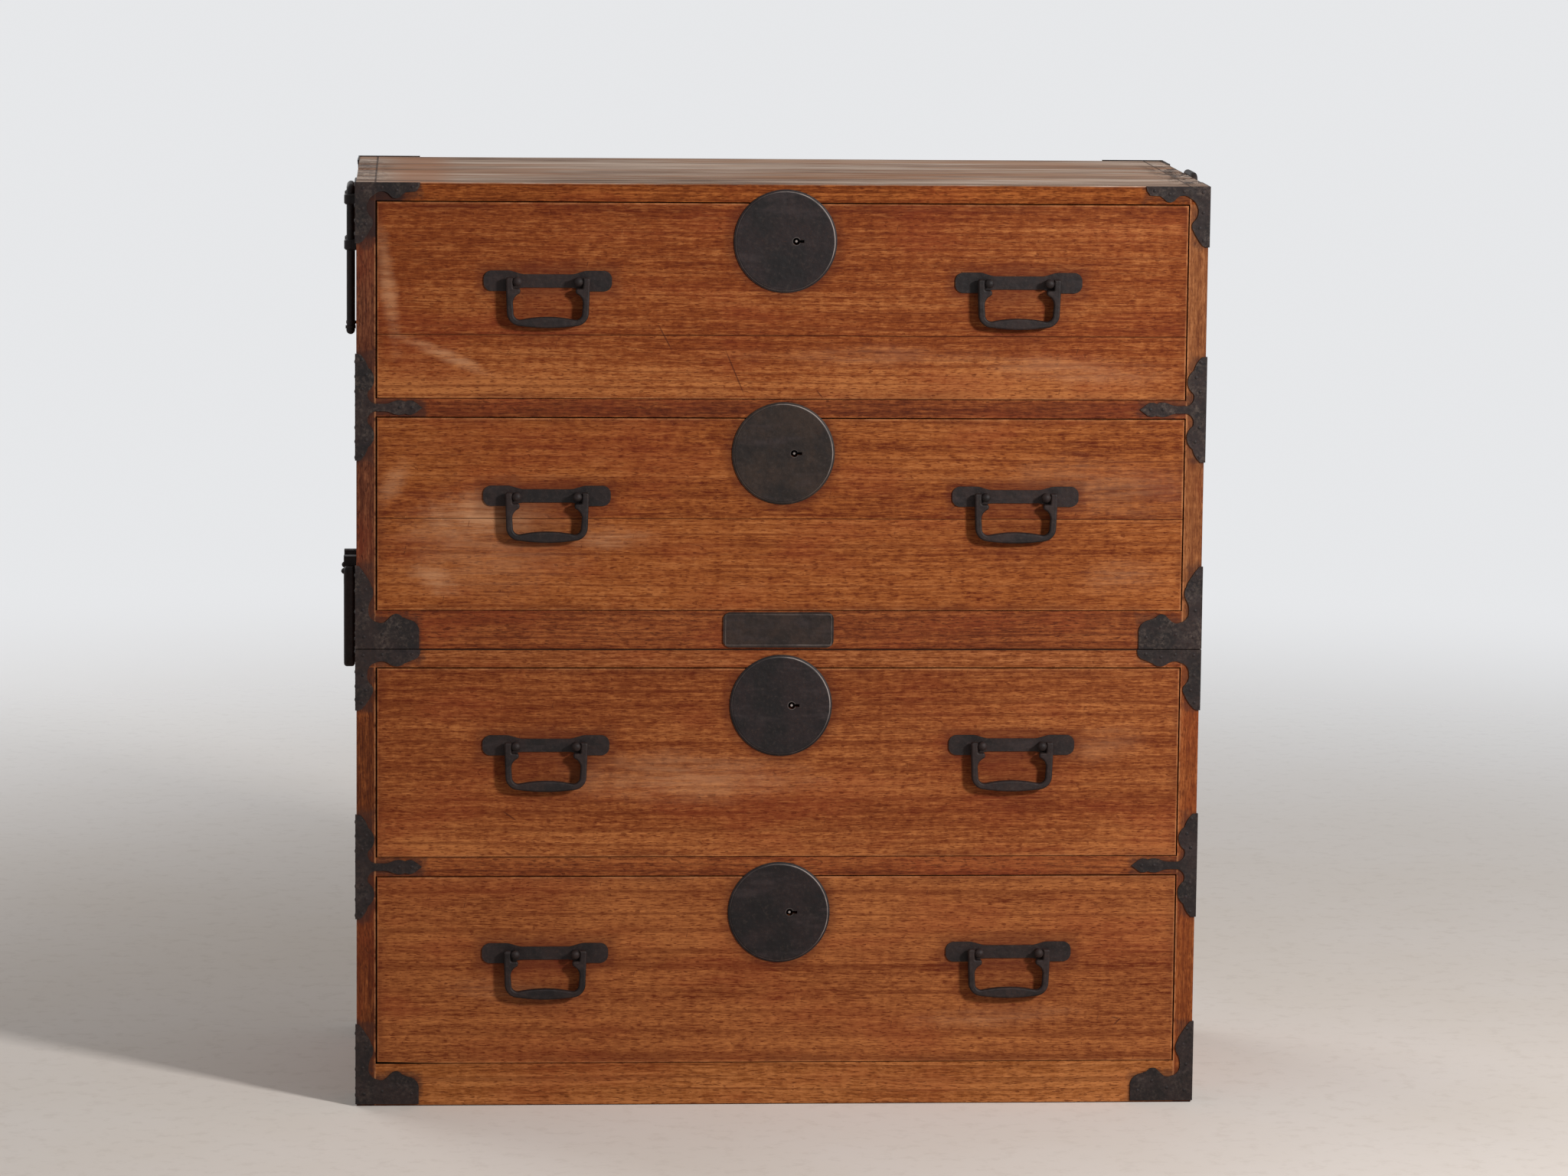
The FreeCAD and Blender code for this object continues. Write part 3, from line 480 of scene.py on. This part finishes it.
def handled(number, rubs, cuts):
    """Wear and painted light of one front: dark halos at plate and handles, a darker patch round and below
    each handle, pale arrises that are partly painted highlight, rubbed patches, scratches and cuts.

    A rub is its x, z, half length, half width, turn in degrees and strength. A cut is its x, z, half length
    and turn.
    """
    low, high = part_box("drawer_%d_front" % number)
    plate = middle_of("drawer_%d_lock" % number)
    plate_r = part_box("drawer_%d_lock" % number)[1].x - plate.x
    handle_z = middle_of("drawer_%d_handle_mounts" % number).z

    def paint(place, board, colour):
        x, _, z = place.axes()
        wide = place.noise(4.0, 0.65, 16.0)
        rough = place.noise(3.0, 0.7, 60.0)
        ragged = (wide - 0.5) * 0.9 + (rough - 0.5) * 0.7

        def spot(spot_x, spot_z, angle, long, short):
            """How far this is from a spot's middle, where the spot's ends are at 1."""
            centred = place.shift(-spot_x, 0.0, -spot_z).turn(math.radians(angle))
            return centred.stretch(1.0 / long, 0.0, 1.0 / short).reach()

        threads = board.stretch(14.0, 200.0, 200.0).shift(3.0, 0.0, 5.0).noise(3.0, 0.7).fade(0.36, 0.62)
        for rub_x, rub_z, long, short, angle, strength in rubs:
            rub = 1.0 - (spot(rub_x, rub_z, angle, long, short) + ragged * 1.1).fade(0.1, 1.35)
            colour = (rub * (0.35 + threads * 0.65) * strength).mix(colour, tint(186, 134, 96))

        disc = place.shift(-plate.x, 0.0, -plate.z).stretch(1.0, 0.0, 1.0).reach() - plate_r + ragged * 0.012
        colour = ((1.0 - disc.fade(-0.001, 0.015)) * 0.55).mix(colour, tint(70, 28, 14))
        beside = x.size().off(HANDLE_X)
        grime = (beside - BACKPLATE_REACH).math("MAXIMUM", z.off(handle_z) - 0.011) + ragged * 0.014
        colour = ((1.0 - grime.fade(0.0, 0.016)) * 0.50).mix(colour, tint(76, 30, 16))
        # Darker in a wide patch round and below each handle
        below = place.node("CombineXYZ", None, {0: beside * 0.8, 2: z - handle_z + 0.028})
        under_handle = below.reach() + ragged * 0.022
        colour = ((1.0 - under_handle.fade(0.030, 0.062)) * 0.30).mix(colour, tint(90, 38, 20))

        for cut_x, cut_z, long, angle in cuts:
            cut = 1.0 - (spot(cut_x, cut_z, angle, long, CUT_HALF_W) + ragged * 0.8).fade(0.5, 1.2)
            colour = (cut * 0.7).mix(colour, tint(62, 26, 15))
        nicks = place.turn(1.35).stretch(45.0, 1.0, 420.0).noise(1.0).fade(0.74, 0.79) * rough.fade(0.5, 0.6)
        colour = (nicks * 0.6).mix(colour, tint(70, 30, 16))

        # Pale arrises round the front: painted highlight and wear
        sideways = (x - low.x).math("MINIMUM", high.x - x)
        rim = sideways.math("MINIMUM", (z - low.z).math("MINIMUM", high.z - z))
        arris = (1.0 - rim.fade(0.0008, 0.0024)) * (0.2 + rough.fade(0.4, 0.65) * 0.5)
        colour = arris.mix(colour, tint(182, 118, 74))
        dirt = (1.0 - rim.fade(0.002, 0.013)) * wide.fade(0.38, 0.62)
        return (dirt * 0.35).mix(colour, tint(78, 32, 16))

    return paint


FRONT_DARK = tint(84, 29, 5)
FRONT_LIGHT = tint(166, 101, 54)
BOX_TONES = (tint(142, 112, 78), tint(176, 148, 110), tint(200, 176, 138))
FRONTS = {
    1: {
        "middle": tint(125, 62, 25),
        "seams": (0.8678,),
        "rubs": (
            (-0.373, 0.8454, 0.060, 0.007, -22.5, 0.6),
            (-0.436, 0.925, 0.010, 0.068, 8.0, 0.6),
            (0.10, 0.845, 0.13, 0.012, 0.0, 0.2),
            (0.33, 0.83, 0.10, 0.016, -4.0, 0.3),
        ),
        "cuts": (
            (-0.1308, 0.866, 0.017, -62.0),
            (-0.0531, 0.8266, 0.027, -67.0),
            (0.041, 0.803, 0.006, -50.0),
        ),
    },
    2: {
        "middle": tint(137, 74, 32),
        "seams": (0.664,),
        "rubs": (
            (-0.331, 0.669, 0.066, 0.026, 4.0, 0.85),
            (-0.385, 0.597, 0.026, 0.014, -30.0, 0.6),
            (-0.193, 0.642, 0.050, 0.014, 0.0, 0.5),
            (-0.430, 0.702, 0.030, 0.014, 60.0, 0.45),
            (-0.32, 0.64, 0.12, 0.06, 0.0, 0.3),
            (0.36, 0.70, 0.11, 0.035, 0.0, 0.25),
            (0.38, 0.60, 0.05, 0.02, 0.0, 0.25),
        ),
        "cuts": (
            (0.2013, 0.690, 0.008, -85.0),
            (0.205, 0.681, 0.006, 62.0),
            (0.192, 0.678, 0.006, 30.0),
        ),
    },
    3: {
        "middle": tint(126, 66, 30),
        "seams": (),
        "rubs": (
            (-0.104, 0.373, 0.130, 0.028, 0.0, 0.4),
            (0.36, 0.41, 0.05, 0.02, 10.0, 0.2),
        ),
        "cuts": (
            (-0.30, 0.33, 0.010, -35.0),
        ),
    },
    4: {
        "middle": tint(135, 76, 38),
        "seams": (),
        "rubs": (
            (-0.30, 0.13, 0.07, 0.014, -6.0, 0.2),
            (0.25, 0.10, 0.09, 0.012, 3.0, 0.25),
        ),
        "cuts": (
            (0.382, 0.098, 0.005, -10.0),
            (0.385, 0.094, 0.006, 45.0),
        ),
    },
}
for number, front in FRONTS.items():
    drawer = "drawer_%d_" % number
    tones = (FRONT_DARK, front["middle"], FRONT_LIGHT)
    paint = handled(number, front["rubs"], front["cuts"])
    dress(drawer + "front", wood(drawer + "wood", "X", 11.0 + number * 2, tones, front["seams"], paint))
    for part, grain in (("walls", "XY"), ("bottom", "X")):
        finish = wood(drawer + part + "_wood", grain, 21.0 + number, BOX_TONES, dryness=0.2, blush=0.08)
        dress(drawer + part, finish)


# The ironwork: forged sheet and bar, blackened with lacquer and soot, now worn to a dull brown-black.
# The arris of each lock plate and the rim of the name plate carry a painted highlight, brightest to the upper
# right, over rubbed wear, and on the case irons the black has gone in specks.
def iron(name, seed, dark, light, arris=None, wear=0.0):
    """Blackened, hand-hammered iron with grey-brown patches and a faint bloom of rust.

    An arris gives where a painted highlight lies, over rubbed wear. Wear is how much of the black has gone in
    specks.
    """
    made, wire, surface = new_finish(name)
    spot = wire.node("TexCoord", output=3)
    place = spot.shift(seed, seed * 0.7, 0.0)
    blows = place.noise(1.0, 0.5, 110.0)
    pits = place.noise(3.0, 0.7, 700.0)
    bloom = place.noise(4.0, 0.65, 26.0)
    speck = place.noise(4.0, 0.75, 240.0)
    wiped = place.stretch(14.0, 14.0, 60.0).noise(3.0, 0.7)
    colour = bloom.fade(0.36, 0.62).mix(dark, light)
    colour = (wiped.fade(0.52, 0.72) * 0.4).mix(colour, tint(54, 44, 44))
    colour = (speck.fade(0.52, 0.68) * 0.4).mix(colour, tint(56, 46, 41))
    colour = (speck.fade(0.48, 0.34) * 0.5).mix(colour, tint(12, 9, 10))
    rust = pits.fade(0.56, 0.74) * bloom.fade(0.45, 0.6)
    colour = (rust * 0.5).mix(colour, tint(70, 40, 23))
    if wear:
        bare = speck.fade(0.40, 0.68) * place.noise(3.0, 0.6, 45.0).fade(0.40, 0.66)
        colour = (bare * wear).mix(colour, tint(88, 76, 68))
    if arris:
        # Painted highlight on the arris, with some rubbed wear
        worn_and_highlit = arris(spot, (blows - 0.5) * 0.0006) * (0.4 + bloom.fade(0.4, 0.6) * 0.6)
        colour = worn_and_highlit.mix(colour, tint(150, 138, 132))
    roughness = 0.42 + bloom * 0.2 + speck * 0.15
    settle(wire, surface, colour, roughness, blows + speck * 0.3 + pits * 0.15, 0.0006)
    surface.inputs["Specular IOR Level"].default_value = 0.22
    return made


PLATE_ARRIS_R = 0.0547
KEYHOLE_RIM_R = 0.0044
# From the plate's middle to the keyhole's round end, where the key pin stands
KEY_PIN_X = 0.012
NAME_PLATE_RIM = 0.0027


def plate_arris(lock):
    """Where a lock is painted bright: a painted highlight on its plate's arris, most at the upper right, a
    faint ring round the keyhole, and its key pin's end.
    """
    plate = middle_of(lock)

    def arris(spot, wander):
        spoke = spot.shift(-plate.x, 0.0, -plate.z).stretch(1.0, 0.0, 1.0)
        x, _, z = spoke.axes()
        rim = 1.0 - (spoke.reach() - PLATE_ARRIS_R + wander).size().fade(0.0001, 0.0007)
        pin = spoke.shift(-KEY_PIN_X, 0.0, 0.0).reach()
        hole = 1.0 - (pin - KEYHOLE_RIM_R + wander).size().fade(0.0001, 0.0006)
        # Painted highlight on the plate's arris, brightest at the upper right towards the lamp
        bright = rim * (0.15 + (x + z * 0.7).fade(0.01, 0.06) * 0.8)
        return bright + hole * 0.2 + (1.0 - pin.fade(0.0010, 0.0015)) * 1.4

    return arris


def rim_arris(spot, wander):
    """The same painted highlight for the inner edge of the name plate's rim, most at the upper right."""
    x, _, z = spot.axes()
    centre = middle_of("name_plate")
    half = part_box("name_plate")[1] - centre
    sideways = x.off(centre.x) - (half.x - NAME_PLATE_RIM)
    gap = sideways.math("MAXIMUM", z.off(centre.z) - (half.z - NAME_PLATE_RIM))
    edge = 1.0 - (gap + wander).size().fade(0.0001, 0.0007)
    return edge * (0.18 + (x - z).fade(-0.6, -0.45) * 0.3)


BLACK = (tint(18, 11, 10), tint(35, 24, 22))
LOCK_BLACK = (tint(13, 7, 7), tint(28, 18, 18))
BROWN_BLACK = (tint(24, 16, 12), tint(42, 30, 23))
BROWN_LOCK = 2
BLACK_IRON = iron("black_iron", 0.0, *BLACK)
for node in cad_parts:
    if any(word in node for word in ("nail", "bolt", "handle", "bail", "bar")):
        dress(node, BLACK_IRON)
for case, wear in (("upper", 0.55), ("lower", 0.2)):
    dress(case + "_irons", iron(case + "_irons_iron", 5.0, *BLACK, wear=wear))
for number in FRONTS:
    lock = "drawer_%d_lock" % number
    tones = BROWN_BLACK if number == BROWN_LOCK else LOCK_BLACK
    dress(lock, iron("lock_%d_iron" % number, number * 1.3, *tones, plate_arris(lock)))
dress("name_plate", iron("name_plate_iron", 7.0, tint(26, 17, 13), tint(44, 31, 25), rim_arris))


# The plain pale floor, which fades out into the pale surround, and the studio light:
# a lamp from the upper right, and a weak broad one behind that lights the back and the left side.
bpy.ops.object.select_all(action="DESELECT")
bpy.ops.mesh.primitive_circle_add(vertices=96, radius=4.2, fill_type="NGON", location=(0.0, 0.0, 0.0))
floor = bpy.context.object
floor.name = "floor"
floor_finish, wire, surface = new_finish("floor_paint")
place = wire.node("TexCoord", output=3)
cloud = place.noise(3.0, 0.6, 2.2)
grit = place.noise(3.0, 0.7, 40.0)
pale = cloud.fade(0.3, 0.7).mix(tint(223, 213, 203), tint(226, 217, 209))
pale = (grit.fade(0.5, 0.7) * 0.25).mix(pale, tint(198, 186, 174))
settle(wire, surface, pale, 0.8 + cloud * 0.1, cloud + grit * 0.2, 0.0004)
surface.inputs["Specular IOR Level"].default_value = 0.15
wire.tree.links.new((1.0 - place.reach().fade(0.9, 4.0)).socket, surface.inputs["Alpha"])
floor.data.materials.append(floor_finish)


def lamp(name, place, aim, size, power):
    """A square soft lamp that looks at a point."""
    made = bpy.data.objects.new(name, bpy.data.lights.new(name, "AREA"))
    bpy.context.scene.collection.objects.link(made)
    made.location = place
    made.rotation_euler = (Vector(aim) - Vector(place)).to_track_quat("-Z", "Y").to_euler()
    made.data.size = size
    made.data.energy = power


CHEST_MIDDLE = (0.0, 0.0, 0.5)
lamp("key_lamp", (2.3, -2.6, 2.0), CHEST_MIDDLE, 0.42, 136.0)
lamp("back_lamp", (-2.8, 3.2, 2.6), CHEST_MIDDLE, 2.4, 60.0)
world = bpy.data.worlds.new("studio")
bpy.context.scene.world = world
world.use_nodes = True
wire = Wire(world.node_tree)
ray = wire.node("LightPath").socket.node.outputs
seen = Wire(world.node_tree, ray["Is Camera Ray"])
for kind in ("Is Glossy Ray", "Is Transmission Ray"):
    seen = seen + Wire(world.node_tree, ray[kind])
backdrop = world.node_tree.nodes["Background"]
# The surround is seen brighter than it lights the chest
world.node_tree.links.new((seen.fade(0.0, 1.0) * 0.58 + 0.24).socket, backdrop.inputs["Strength"])
backdrop.inputs["Color"].default_value = (0.97, 0.98, 1.0, 1.0)
bpy.context.scene.view_settings.view_transform = "Standard"
